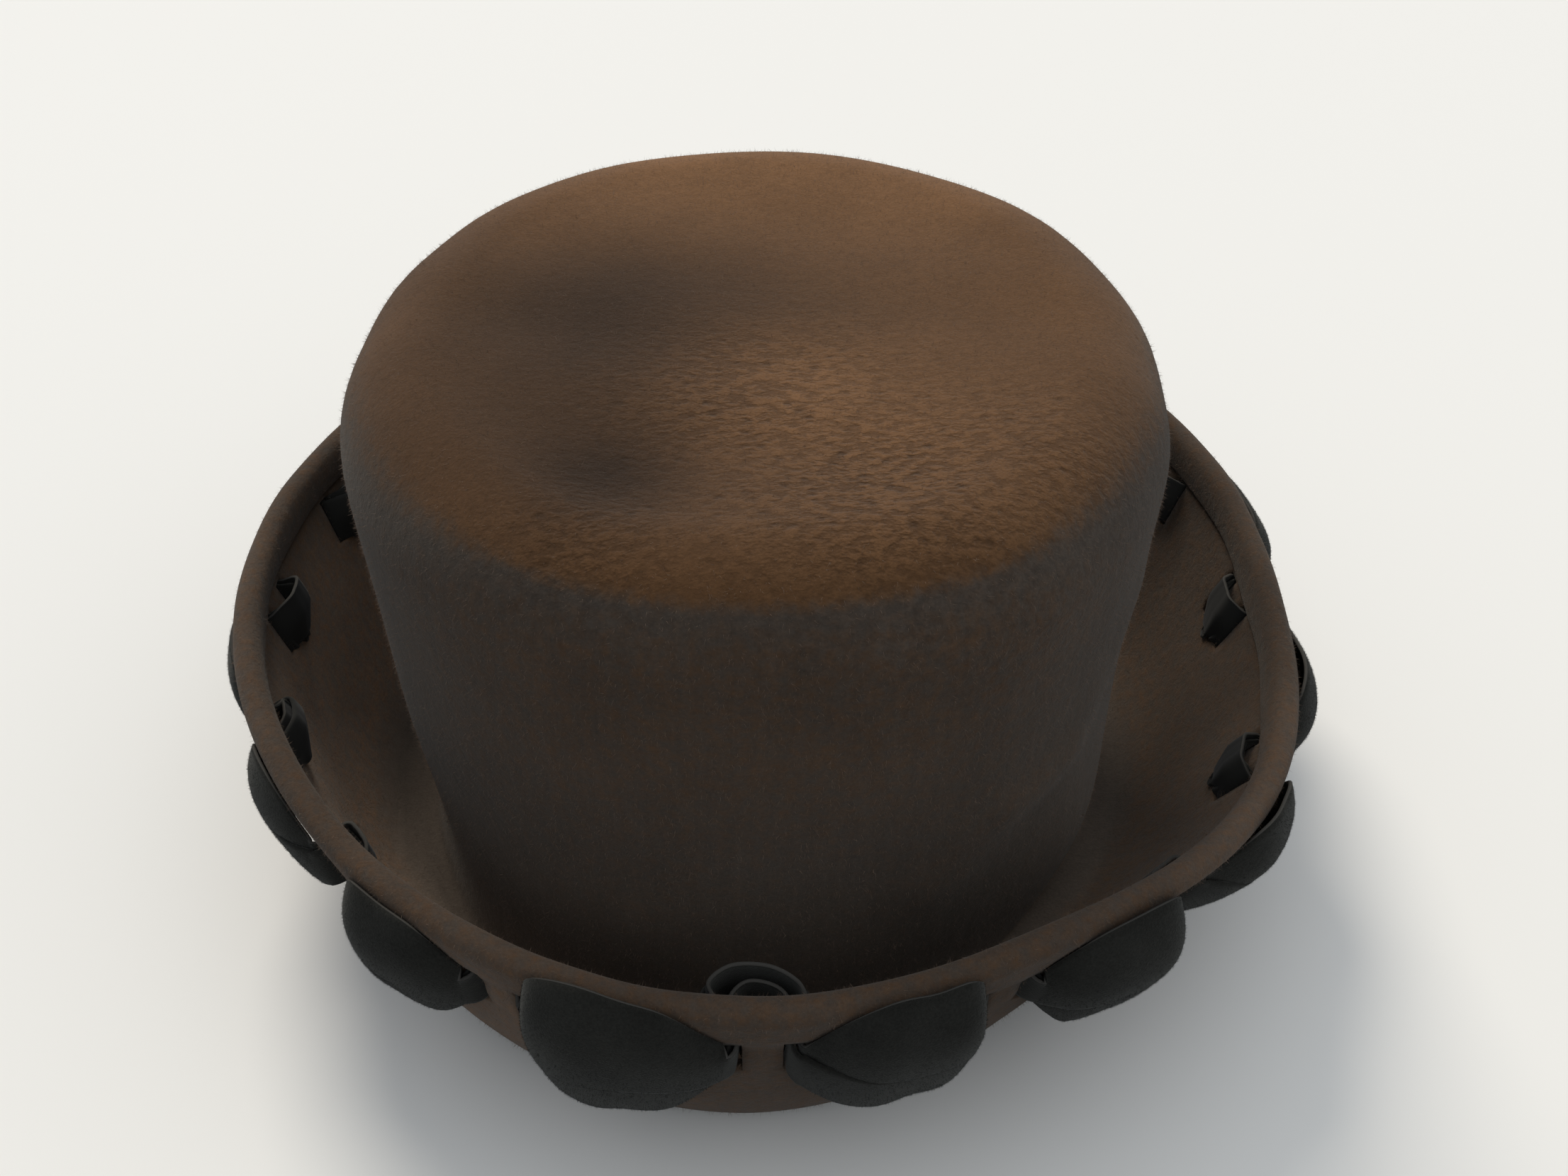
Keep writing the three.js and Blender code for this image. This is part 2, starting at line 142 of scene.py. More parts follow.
# ---------------------------------------------------------------- felt hat
# One piece of brown velour felt, blocked over a wooden block: flat-topped crown, bowl-like brim turned
# up all round, and a hem turned in over the brim's edge. Slits in the brim take the ribbon.
MM = 0.001
FELT = 2.6 * MM
HALF = FELT / 2
OVAL_POWER = 2.1
CROWN_AXIS = np.array([-5.49, 0.34, 0.0]) * MM

CROWN_HEIGHT = 133 * MM
TIP_HALF = (92 * MM, 101 * MM)
FOOT_HALF = (81 * MM, 96 * MM)
EDGE_ROUNDING = 22 * MM
DISH = 2.5 * MM
FOOT_HEIGHT = 18 * MM
TAPER_POWER = 1.3

SEAT_WIDTH = 5 * MM
BOWL_RUN = 6 * MM
TURN_RATIO = 0.9
STRAIGHT = 24 * MM
ROLL_RADIUS = 3.2 * MM

SLIT_WIDTH = 4.0 * MM
SLIT_LENGTH = 13.2 * MM
SLIT_DEPTH = 15 * MM
BELOW_SLITS = 23 * MM
HALF_STRIP = 6.0 * MM

TIP_STEPS, EDGE_STEPS, WALL_STEPS, TURN_STEPS, BOWL_STEPS, SLIT_ROWS = 35, 14, 39, 10, 15, 8
# Cells of the mesh round the brim: a slit, the felt strip, the other slit, and on to the next strip.
COLUMN_CELLS = (2, 3, 2, 16)

# The turned-up brim, every 30 degrees from centre front: radius and height of its rolled edge, how far
# the ring on which the hat rests reaches out, and how far it lifts off the surface. Millimetres.
RIM_STEP = 30
RIM = {
    "radius": (129, 125, 122, 121, 122, 126.5, 131, 128.5, 130, 126, 130, 131.5),
    "height": (68, 68, 66, 64, 62, 58, 56, 58, 53, 55, 61, 66),
    "seat": (10, 10, 10, 10, 10, 9.5, 12, 7.5, 8, 10, 10, 10),
    "lift": (0, 0, 0, 0, 0, 0, 0, 5, 8, 2, 0, 0),
}

# Soft dents in the crown. A negative depth is a swelling. Millimetres and degrees.
DENTS = {
    "azimuth": (52, 4, -40, -22, 150),
    "radius": (92, 98, 92, 68, 35),
    "height": (32, 50, 60, 131, 131),
    "spread": (18, 26, 16, 15, 22),
    "depth": (-6, 1.8, -1.4, 1.8, 1.2),
}

# Ridges pressed into the crown's wall: from one place to another, with their height and width.
WALL_RADIUS = 92 * MM
RIDGES = {
    "from_azimuth": (62, 46, 34),
    "from_height": (92, 67, 61),
    "to_azimuth": (46, 34, 24),
    "to_height": (67, 61, 46),
    "lift": (1.0, 2.2, 1.2),
    "width": (7, 6, 8),
}

# The felt strips between the ribbon's puffs, from centre back towards the wearer's right.
STRIPS = (1.5, 24, 46, 68, 95, 118, 140, 162, 184, 206, 228, 250, 272.5, 294, 315.5, 337)


def outward(azimuth):
    angle = np.radians(azimuth)
    return np.stack([np.sin(angle), -np.cos(angle), np.zeros_like(angle)], -1)


def unit(vectors):
    return vectors / np.linalg.norm(vectors, axis=-1, keepdims=True)


def above(values, start, over):
    """0 up to start, and rising to 1 over the stretch that follows."""
    return np.clip((values - start) / over, 0, 1)


def below(values, start, over):
    return np.clip((start - values) / over, 0, 1)


def eased(part):
    return part**2 * (3 - 2 * part)


def oval_radius(halves, azimuth):
    across = np.abs(np.sin(np.radians(azimuth))) / halves[0]
    lengthwise = np.abs(np.cos(np.radians(azimuth))) / halves[1]
    return (across**OVAL_POWER + lengthwise**OVAL_POWER) ** (-1 / OVAL_POWER)


def through(points, place):
    """The smooth curve through points at place, in steps from the first point."""
    last = np.clip(np.floor(place).astype(int), 0, len(points) - 2)
    t = (place - last)[..., None]
    before = np.vstack([2 * points[0] - points[1], points, 2 * points[-1] - points[-2]])
    a, b, c, d = (before[last + k] for k in range(4))
    bend = t * (2 * a - 5 * b + 4 * c - d) + t**2 * (3 * b - a - 3 * c + d)
    return b + t * (c - a + bend) / 2


def round_rim(name, azimuth):
    """A column of RIM at any azimuth, as one smooth loop: rows from each end are laid past the other."""
    column = np.array(RIM[name], float)[:, None] * MM
    looped = np.vstack([column[-2:], column, column[:3]])
    from_front = (np.asarray(azimuth, float) % 360 - 180) % 360
    return through(looped, from_front / RIM_STEP + 2)[..., 0]


def brim_at(azimuth):
    """The turned-up brim in the section at each azimuth, as (distance from the axis, height)."""
    roll = np.stack([round_rim("radius", azimuth), round_rim("height", azimuth)], -1)
    seat = oval_radius(FOOT_HALF, azimuth) + round_rim("seat", azimuth)
    seat = np.stack([seat, HALF + np.maximum(round_rim("lift", azimuth), 0)], -1)
    lean = np.arctan2(roll[..., 0] - seat[..., 0] - BOWL_RUN, roll[..., 1] - seat[..., 1])
    up = np.stack([np.sin(lean), np.cos(lean)], -1)
    inward = np.stack([-np.cos(lean), np.sin(lean)], -1)
    return roll, up, inward, roll + inward * (HALF - ROLL_RADIUS), seat


def bezier(a, b, c, d, parts):
    t = np.asarray(parts)[:, None, None]
    return a * (1 - t) ** 3 + 3 * b * t * (1 - t) ** 2 + 3 * c * t**2 * (1 - t) + d * t**3


def pair(x, z):
    return np.stack(np.broadcast_arrays(x, z), -1)


slit_depths = SLIT_DEPTH + SLIT_LENGTH * np.linspace(0.5, -0.5, SLIT_ROWS + 1)
straight_depths = np.concatenate([[STRAIGHT, BELOW_SLITS], slit_depths])


def felt_line(azimuth):
    """The felt's mid-line from the tip's centre to the hem, a row of points for each place along it."""
    tip = oval_radius(TIP_HALF, azimuth)
    flat = tip - EDGE_ROUNDING
    foot = oval_radius(FOOT_HALF, azimuth)
    roll, up, inward, top, seat = brim_at(azimuth)

    part = np.linspace(0, 1, TIP_STEPS + 1)[:, None]
    tip_rows = pair(flat * part, CROWN_HEIGHT - HALF - DISH * (1 - part**4))

    angle = np.radians(np.linspace(0, 90, EDGE_STEPS + 1)[1:])[:, None]
    arc = EDGE_ROUNDING - HALF
    edge_height = CROWN_HEIGHT - EDGE_ROUNDING + arc * np.cos(angle)
    edge_rows = pair(flat + arc * np.sin(angle), edge_height)

    part = np.linspace(0, 1, WALL_STEPS + 1)[1:, None]
    fall = CROWN_HEIGHT - EDGE_ROUNDING - FOOT_HEIGHT
    wall_line = tip - HALF + (foot - tip) * part**TAPER_POWER
    wall_rows = pair(wall_line, FOOT_HEIGHT + fall * (1 - part))

    wall_end = wall_rows[-1]
    seat_start = seat - pair(SEAT_WIDTH, 0)
    down = wall_end - pair(0, TURN_RATIO * (wall_end[:, 1] - seat[:, 1]))
    before = seat_start - pair(TURN_RATIO * (seat_start[:, 0] - wall_end[:, 0]), 0)
    turn_rows = bezier(wall_end, down, before, seat_start, np.linspace(0, 1, TURN_STEPS + 1)[1:])

    straight_end = top - up * STRAIGHT
    after = seat + pair(TURN_RATIO * BOWL_RUN, 0)
    climb = TURN_RATIO * (straight_end[:, 1] - seat[:, 1]) / up[:, 1]
    rising = straight_end - up * climb[:, None]
    bowl_rows = bezier(seat, after, rising, straight_end, np.linspace(0, 1, BOWL_STEPS + 1)[:-1])

    straight_rows = top - up * straight_depths[:, None, None]
    return [tip_rows, edge_rows, wall_rows, turn_rows, bowl_rows, straight_rows]


def beside_strip(azimuth, along):
    """The azimuth of a place that lies so far along the brim from a strip's middle."""
    roll, up, inward, top, seat = brim_at(np.atleast_1d(float(azimuth)))
    radius = (top - up * SLIT_DEPTH)[0, 0]
    return azimuth + math.degrees(along / radius)


# Columns of the mesh: each slit and each felt strip has its own, and the rest fills the gaps evenly.
columns, slit_columns = [], []
for number, strip in enumerate(STRIPS):
    following = STRIPS[number + 1] if number + 1 < len(STRIPS) else STRIPS[0] + 360
    edges = []
    for side in (-1, 1):
        for edge in (-1, 1):
            edges.append(beside_strip(strip, side * HALF_STRIP + edge * SLIT_WIDTH / 2))
    edges.append(beside_strip(following, -HALF_STRIP - SLIT_WIDTH / 2))
    for index, cells in enumerate(COLUMN_CELLS):
        if index in (0, 2):
            slit_columns.append((len(columns), len(columns) + cells))
        columns.extend(np.linspace(edges[index], edges[index + 1], cells + 1)[:-1])
columns = np.array(columns)
COLUMNS = len(columns)

sections = felt_line(columns)
mid = np.concatenate(sections)
tip_count, edge_count, wall_count, turn_count, bowl_count, straight_count = map(len, sections)
wall_start = tip_count + edge_count
wall_stop = wall_start + wall_count
turn_stop = wall_stop + turn_count

slope = unit(np.gradient(mid, axis=0))
normal = np.stack([-slope[..., 1], slope[..., 0]], -1)
normal[0] = (0, 1)


def in_space(points, azimuth):
    """Section points to space: the first number goes outward, the second up."""
    return points[..., :1] * outward(azimuth) + points[..., 1:] * np.array([0.0, 0.0, 1.0])


def spot(points, azimuth, radius, height, spread, axis=0.0):
    """1 at a place given in degrees and millimetres, and fading softly round it."""
    centre = outward(float(azimuth)) * radius * MM + np.array([0, 0, height * MM]) + axis
    return np.exp(-np.sum((points - centre) ** 2, -1) / (2 * (spread * MM) ** 2))


def soft_waves(places, seed, length, height):
    """Gentle unevenness of hand-blocked felt and hand-laced ribbon."""
    waves = 7
    rng = np.random.default_rng(seed)
    total = np.zeros(places.shape[:-1])
    for _ in range(waves):
        direction = rng.normal(size=3)
        direction *= 2 * math.pi / (length * rng.uniform(0.7, 1.6) * np.linalg.norm(direction))
        total += np.sin(places @ direction + rng.uniform(0, 2 * math.pi))
    return total * height / waves**0.5


middle = in_space(mid, columns)
across = in_space(normal, columns)

# The dents fade out between the wall's foot and the resting ring.
fade = np.ones(len(mid))
fade[wall_stop:turn_stop] = np.linspace(1, 0, turn_count)
fade[turn_stop:] = 0
dent = np.zeros(middle.shape[:2])
for *where, depth in zip(*DENTS.values()):
    dent += depth * MM * spot(middle, *where)
dent *= fade[:, None]

on_wall = pair(np.radians((columns + 180) % 360 - 180) * WALL_RADIUS, middle[..., 2])
ridge = np.zeros(middle.shape[:2])
for from_azimuth, from_height, to_azimuth, to_height, lift, width in zip(*RIDGES.values()):
    start = np.array([math.radians(from_azimuth) * WALL_RADIUS, from_height * MM])
    line = np.array([math.radians(to_azimuth) * WALL_RADIUS, to_height * MM]) - start
    along = np.clip(((on_wall - start) @ line) / (line @ line), 0, 1)
    away = np.linalg.norm(on_wall - start - along[..., None] * line, axis=-1)
    ridge = np.maximum(ridge, lift * MM * np.exp(-((away / (width * MM)) ** 2)))
wall_only = np.zeros(len(mid))
wall_only[wall_start:wall_stop] = 1
ridge *= wall_only[:, None]

# The felt is a little uneven, but lies flat where the hat rests on it.
uneven = soft_waves(middle, seed=3, length=45 * MM, height=0.28 * MM)
settled = np.ones(len(mid))
settled[turn_stop - 3 : turn_stop + 3] = 0
middle = middle + across * (ridge - dent + uneven * settled[:, None])[..., None]
upper = middle + across * HALF
lower = middle - across * HALF

# The hem: the felt's edge is turned in over itself and lies against the brim, open at its free edge.
# Millimetres in from the roll's centre and up from it.
HEM_INSIDE = (
    (-0.6, -7.2),
    (-0.55, -6.6),
    (-0.35, -6.3),
    (-0.1, -6.4),
    (0.05, -6.75),
    (0.25, -7.0),
    (0.55, -6.95),
    (0.85, -6.6),
    (1.25, -5.9),
    (1.95, -4.6),
    (2.65, -3.1),
    (3.05, -1.6),
    (3.2, -0.5),
)
HEM_OUTSIDE = ((-3.2, -0.8), (-3.2, -2.2), (-3.2, -3.8), (-3.2, -5.2), (-3.2, -6.6))
ROLL_ANGLES = np.radians(np.linspace(8, 172, 13))

roll, up, inward, top, seat = brim_at(columns)
hem_sway = soft_waves(outward(columns) * 126 * MM, seed=8, length=38 * MM, height=0.5 * MM)
hem_rows = []
for inside, height in HEM_INSIDE:
    free = above(-height, 2, 5)
    hem_rows.append(roll + inward * inside * MM + up * (height * MM + hem_sway * free)[:, None])
for angle in ROLL_ANGLES:
    hem_rows.append(roll + (inward * math.cos(angle) + up * math.sin(angle)) * ROLL_RADIUS)
for inside, height in HEM_OUTSIDE:
    hem_rows.append(roll + inward * inside * MM + up * height * MM)
hem = in_space(np.array(hem_rows), columns)
hem[..., 2] += soft_waves(hem, seed=5, length=30 * MM, height=0.22 * MM)

# Along the hem's stitching the brim is drawn inward where the ribbon pulls at each strip.
STITCH_DEPTH, STITCH_WIDTH, STITCH_PULL = 12.5 * MM, 2.6 * MM, 0.9 * MM
PULLED_WIDTH = 3.0
PULLED_INSIDE = 0.4

near_strip = np.zeros(COLUMNS)
for strip in STRIPS:
    off = (columns - strip + 180) % 360 - 180
    near_strip = np.maximum(near_strip, np.exp(-((off / PULLED_WIDTH) ** 2)))
stitched = np.exp(-(((straight_depths - STITCH_DEPTH) / STITCH_WIDTH) ** 2))[:, None]
pull = across[-straight_count:] * (stitched * near_strip * STITCH_PULL)[..., None]
lower[-straight_count:] += pull
upper[-straight_count:] += pull * PULLED_INSIDE

# Hidden inside the crown, the lower side needs fewer rows.
HIDDEN_STEP = 3
kept = list(range(0, wall_stop, HIDDEN_STEP)) + list(range(wall_stop, len(mid)))
rows = np.concatenate([upper, hem, lower[kept][::-1]])
last_row = len(rows) - 1
upper_slit = len(mid) - SLIT_ROWS - 1
lower_slit = len(mid) + len(hem) + SLIT_ROWS


def felt_point(row, column):
    """The number of a point in the mesh; each tip's centre is one point."""
    if row == 0:
        return 0
    if row == last_row:
        return 1
    return 2 + (row - 1) * COLUMNS + column % COLUMNS


holes = set()
for start, end in slit_columns:
    for column in range(start, end):
        for row in range(SLIT_ROWS):
            holes.add((upper_slit + row, column))
            holes.add((lower_slit - row - 1, column))

faces = []
for row in range(last_row):
    for column in range(COLUMNS):
        if (row, column) in holes:
            continue
        corners = (
            felt_point(row, column),
            felt_point(row + 1, column),
            felt_point(row + 1, column + 1),
            felt_point(row, column + 1),
        )
        faces.append(tuple(dict.fromkeys(corners)))

# The cut edges of the slits join the felt's two sides.
for start, end in slit_columns:
    edge = [(row, start) for row in range(SLIT_ROWS)]
    edge += [(SLIT_ROWS, column) for column in range(start, end)]
    edge += [(SLIT_ROWS - row, end) for row in range(SLIT_ROWS)]
    edge += [(0, column) for column in range(end, start, -1)]
    for (row, column), (next_row, next_column) in zip(edge, edge[1:] + edge[:1]):
        faces.append(
            (
                felt_point(upper_slit + row, column),
                felt_point(upper_slit + next_row, next_column),
                felt_point(lower_slit - next_row, next_column),
                felt_point(lower_slit - row, column),
            )
        )

points = np.concatenate([rows[0, :1], rows[-1, :1], rows[1:-1].reshape(-1, 3)]) + CROWN_AXIS
felt = new_piece("velour_felt", points.tolist(), faces)
felt_mesh = felt.data
felt_mesh.polygons.foreach_set("use_smooth", [True] * len(felt_mesh.polygons))

# Painted light and shade on the felt: lighter where light falls on it or glances off its nap, darker
# where it is shaded, as in the dent on the tip. Columns, in degrees and millimetres: azimuth, radius,
# height, spread, and how much lighter.
PAINTED_LIGHT_SPOTS = (
    (-130, 84, 129, 20, 0.3),
    (-165, 88, 129, 26, 1.1),
    (150, 88, 129, 28, 0.95),
    (100, 86, 129, 18, 0.15),
    (-75, 38, 131, 36, -0.44),
    (-110, 30, 131, 26, -0.25),
    (-25, 66, 131, 13, -0.6),
    (-50, 76, 128, 14, -0.1),
    (35, 62, 131, 26, 0.2),
    (12, 80, 128, 20, 0.02),
    (75, 60, 131, 24, 0.12),
    (15, 26, 131, 20, 0.55),
    (-85, 88, 122, 14, 0.3),
    (90, 88, 118, 16, 0.1),
    (0, 92, 38, 30, 0.6),
    (50, 118, 26, 26, 1.0),
    (70, 118, 40, 20, 0.35),
    (-90, 138, 60, 22, 0.3),
    (84, 136, 60, 20, -0.45),
)

# The nap stands in little pits on the middle of the tip and towards the back of it. Columns, in degrees
# and millimetres: azimuth, radius, height, spread, and how strongly it is pitted.
PIMPLES = ((5, 30, 131, 24, 0.9), (22, 66, 131, 26, 1.0), (45, 72, 131, 20, 0.7), (-20, 84, 130, 16, 0.6))

from_axis = points - CROWN_AXIS
height = points[:, 2]
on_brim = above(np.linalg.norm(from_axis[:, :2], axis=-1), 92 * MM, 8 * MM)
# The felt's painted light and shade, summed at each point.
painted_light = np.zeros(len(points))
for *where, lighter in PAINTED_LIGHT_SPOTS:
    painted_light += lighter * spot(points, *where, CROWN_AXIS)
# Painted light: the felt low down round the crown's foot, in the channel, is made lighter.
painted_light += 0.45 * below(height, 22 * MM, 16 * MM)

# Painted light: the brim on the wearer's left is made lighter, least of all at its rolled edge.
leftward = np.maximum(0, -from_axis[:, 0] / (115 * MM)) * below(height, 80 * MM, 30 * MM)
painted_light += 2.6 * leftward * on_brim * below(height, 62 * MM, 22 * MM)

# The tip is lighter down to its edge, and further down the crown at the sides than at the back: partly
# worn felt, partly painted light falling on the top.
turn = np.degrees(np.arctan2(from_axis[:, 0], -from_axis[:, 1]))
side_fall = above(np.abs(turn - 2), 28, 55)
worn_and_lit_from = (123.2 - 16 * side_fall**1.4) * MM
worn_and_lit_over = (5.4 + 24 * side_fall**1.2) * MM
worn_and_lit = np.maximum(eased(above(height, worn_and_lit_from, worn_and_lit_over)), 0.36 * on_brim)

pimpled = np.zeros(len(points))
for *where, strength in PIMPLES:
    pimpled = np.maximum(pimpled, strength * spot(points, *where, CROWN_AXIS))
for name, values in (("painted_light", painted_light), ("worn_and_lit", worn_and_lit), ("pimpled", pimpled)):
    felt_mesh.attributes.new(name, "FLOAT", "POINT").data.foreach_set("value", values)

# Of the felt's two colours, the lighter, redder one is the tip's: partly worn felt, partly painted light
# falling on the top. The darker one is the rest of the felt.
DARK_FELT = (0.0515, 0.0405, 0.031, 1)
WORN_AND_LIT_FELT = (0.083, 0.0408, 0.0167, 1)
# Sockets of a mix node that mixes colours.
MIX_PART, MIX_FROM, MIX_TO, MIX_RESULT = 0, 6, 7, 2


def maths(tree, operation, a, b):
    return node(tree, "Math", {0: a, 1: b}, operation=operation).outputs[0]


def noise(tree, scale, detail, vector, roughness=0.5):
    inputs = {"Scale": scale, "Detail": detail, "Roughness": roughness, "Vector": vector}
    return node(tree, "TexNoise", inputs).outputs[0]


def attribute(tree, name):
    return node(tree, "Attribute", attribute_name=name).outputs["Fac"]


def mapped(tree, vector, scale, turn=0.0):
    inputs = {"Scale": scale, "Rotation": (0, 0, math.radians(turn)), "Vector": vector}
    return node(tree, "Mapping", inputs).outputs[0]


def ranged(tree, value, low, high, kind="SMOOTHSTEP"):
    inputs = {"Value": value, "From Min": low, "From Max": high}
    return node(tree, "MapRange", inputs, interpolation_type=kind).outputs[0]


def shaded(tree, shade, least, pattern, reach):
    """A shade times least, and more by reach where the pattern is 1."""
    factor = maths(tree, "ADD", least, maths(tree, "MULTIPLY", pattern, reach))
    return maths(tree, "MULTIPLY", shade, factor)


felt_paint, tree, shader = new_paint(
    "velour_felt",
    {
        "Roughness": 0.95,
        "Specular IOR Level": 0.12,
        "Sheen Weight": 0.1,
        "Sheen Roughness": 0.45,
        "Sheen Tint": (1.0, 0.95, 0.85, 1),
    },
)
on_felt = node(tree, "TexCoord").outputs["Object"]
brushed = mapped(tree, on_felt, (0.72, 1.15, 1.0), turn=-16)
pimply = attribute(tree, "pimpled")
cells = {"Scale": 360, "Smoothness": 0.3, "Randomness": 1.0, "Vector": brushed}
nearest_pit = node(tree, "TexVoronoi", cells, feature="SMOOTH_F1").outputs["Distance"]
pit = maths(tree, "SUBTRACT", 1.0, ranged(tree, nearest_pit, 0.1, 0.46))
some = ranged(tree, noise(tree, 260, 1, on_felt), 0.46, 0.6, "LINEAR")
pit = maths(tree, "MULTIPLY", pit, maths(tree, "MULTIPLY", pimply, some))
ruffle = ranged(tree, noise(tree, 480, 2, brushed, 0.6), 0.36, 0.64)
ruffle = maths(tree, "MULTIPLY", maths(tree, "SUBTRACT", ruffle, 0.5), pimply)
fibres = noise(tree, 1500, 4, on_felt, 0.7)
tufts = noise(tree, 420, 3, on_felt, 0.6)
streaks = noise(tree, 500, 3, mapped(tree, on_felt, (1, 1, 0.1)))

# Relief in metres.
relief = maths(tree, "MULTIPLY", fibres, 0.0002)
for pattern, stands in ((tufts, 0.00025), (streaks, 0.00008), (ruffle, 0.0003), (pit, -0.0003)):
    relief = maths(tree, "ADD", relief, maths(tree, "MULTIPLY", pattern, stands))
bump = node(tree, "Bump", {"Distance": 1.0, "Height": relief})
tree.links.new(bump.outputs[0], shader.inputs["Normal"])

# Colour: the tip is lighter and redder, partly worn and partly painted light on the top; the rest is
# darker, with cloudy and tufted variation. The lighter part ends raggedly, tuft by tuft.
how_worn_and_lit = attribute(tree, "worn_and_lit")
half_worn_and_lit = maths(tree, "MULTIPLY", how_worn_and_lit, maths(tree, "SUBTRACT", 1.0, how_worn_and_lit))
tufted = maths(tree, "MULTIPLY", maths(tree, "SUBTRACT", tufts, 0.5), 4.0)
ragged = maths(tree, "ADD", how_worn_and_lit, maths(tree, "MULTIPLY", half_worn_and_lit, tufted))
mixed = {MIX_PART: ranged(tree, ragged, 0.05, 0.92), MIX_FROM: DARK_FELT, MIX_TO: WORN_AND_LIT_FELT}
felt_colour = node(tree, "Mix", mixed, data_type="RGBA").outputs[MIX_RESULT]
shade = maths(tree, "ADD", 1.0, attribute(tree, "painted_light"))
shade = shaded(tree, shade, 0.6, fibres, 0.8)
shade = shaded(tree, shade, 0.8, noise(tree, 38, 3, on_felt), 0.4)
shade = shaded(tree, shade, 0.85, streaks, 0.3)
# Painted shade: the pits are darker in colour as well as sunk in relief.
shade = shaded(tree, shade, 1.0, pit, -0.4)
shade = shaded(tree, shade, 1.0, ruffle, 0.5)
painted = node(tree, "VectorMath", {0: felt_colour, "Scale": shade}, operation="SCALE")
tree.links.new(painted.outputs[0], shader.inputs["Base Color"])
felt_mesh.materials.append(felt_paint)

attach(felt, "root")
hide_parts("felt_hat")

# ---------------------------------------------------------------- velvet ribbon
# One strip of black cotton velvet, laced in and out of the slits. Between two felt strips it stands out
# in a puff, and behind each strip it shows as a short arch. Its two ends lap inside at centre back.
RIBBON_WIDTH = 37 * MM
RIBBON_THICKNESS = 0.8 * MM
SLIT_HALF = 6.4 * MM
STEPS = 7
ACROSS = 30

# The puffs in order, from the strip at centre back towards the wearer's right, each between its strip
# and the next; tuck and sway are of the arch behind its strip. Millimetres; peak is the part of its
# length where it is fullest.
PUFFS = {
    "tuck": (14, 4.4, 4.2, 4.4, 4.4, 5, 5, 5, 5, 5, 5, 5.4, 6, 6, 5.8, 4.4),
    "sway": (0, 0, 0, 0, 0, 0, 0, 0, 0, 0, 0, -2, -3, -4, -3, 0),
    "bulge": (10, 12, 11.5, 13.5, 16, 11, 9, 8.5, 8.5, 8.5, 8, 6, 6, 7.5, 9, 10),
    "rise": (22, 20, 19, 18, 18, 18, 18, 19, 18, 18, 18, 14, 15, 15, 18, 24),
    "drop": (17.5, 18, 18, 18, 18, 18, 18, 18, 18, 18, 18, 20, 20, 12.5, 13.5, 17),
    "peak": (0.7, 0.64, 0.66, 0.45, 0.5, 0.5, 0.5, 0.5, 0.5, 0.5, 0.5, 0.5, 0.5, 0.4, 0.4, 0.34),
}

# Where a puff's lower edge is caught up between two lobes: which puff, where along it, how deep and
# how wide. Millimetres, and parts of the puff's length.
NOTCHES = {
    "puff": (1, 2, 14, 13, 5, 6, 8, 10, 11, 0, 15),
    "part": (0.36, 0.5, 0.55, 0.6, 0.4, 0.62, 0.45, 0.6, 0.4, 0.42, 0.62),
    "depth": (5.0, 2.5, 3.5, 6.0, 2.5, 2.0, 3.0, 3.0, 2.5, 1.5, 1.2),
    "width": (0.09, 0.1, 0.1, 0.09, 0.1, 0.1, 0.1, 0.1, 0.1, 0.08, 0.08),
}

# A puff's stations: where along it, the share of its bulge, and the share of what its rise and drop have
# over the slit's. At its two slits it stands EXIT_OUT off the brim, and that share is EXIT_GAIN.
PUFF_PARTS = ((0.2, 0.85, 0.85), (0.5, 1, 1), (0.8, 0.85, 0.85))
EXIT_ALONG, EXIT_OUT, EXIT_GAIN = 2.1 * MM, 3.6 * MM, 0.1

# The two lapped ends behind the strip at centre back: along, inside, half the height, and how far the
# ribbon is held up; 1 is as in the slit, and less hangs lower.
UNDER_END = (
    (-4.6, 4.6, 7, 0.7),
    (-5.6, 7.4, 8, 0.6),
    (-2.5, 10.2, 8.5, 0.6),
    (3.2, 8.6, 8, 0.7),
    (5.9, 3.0, 6.4, 0.9),
    (6.0, 0, 6.4, 1),
)
OVER_END = (
    (-6.0, 0, 6.4, 1),
    (-6.6, 3.0, 6.8, 0.9),
    (-12.5, 9.5, 9.5, 0.6),
    (-7.5, 14.6, 10.5, 0.5),
    (1.5, 14.8, 10.5, 0.5),
    (8.4, 11.0, 9.5, 0.5),
    (10.8, 5, 8.5, 0.6),
)
HANG = 7.5
CLEAR_OF_SLIT = 2.6


def arch(tuck, sway):
    """The arch behind a strip, in the columns of the lapped ends. It sways once clear of the slits."""
    near = [(6.0, 0, 6.4, 1), (6.0, 1.7, 6.4, 1)]
    near += [(4.0, 0.72 * tuck + 1.0, 6.4, 0.75), (1.4, tuck, 6.4, 0.65)]
    whole = [(-along, *rest) for along, *rest in near] + near[::-1]
    return [
        (along + sway * max(0, inside - CLEAR_OF_SLIT) / (tuck - CLEAR_OF_SLIT), inside, *rest)
        for along, inside, *rest in whole
    ]


def inner_stations(azimuth, shape):
    for along, inside, half, held in shape:
        here = beside_strip(azimuth, along * MM)
        yield here, -inside * MM, half * MM, (half + (1 - held) * HANG) * MM, -1, 0


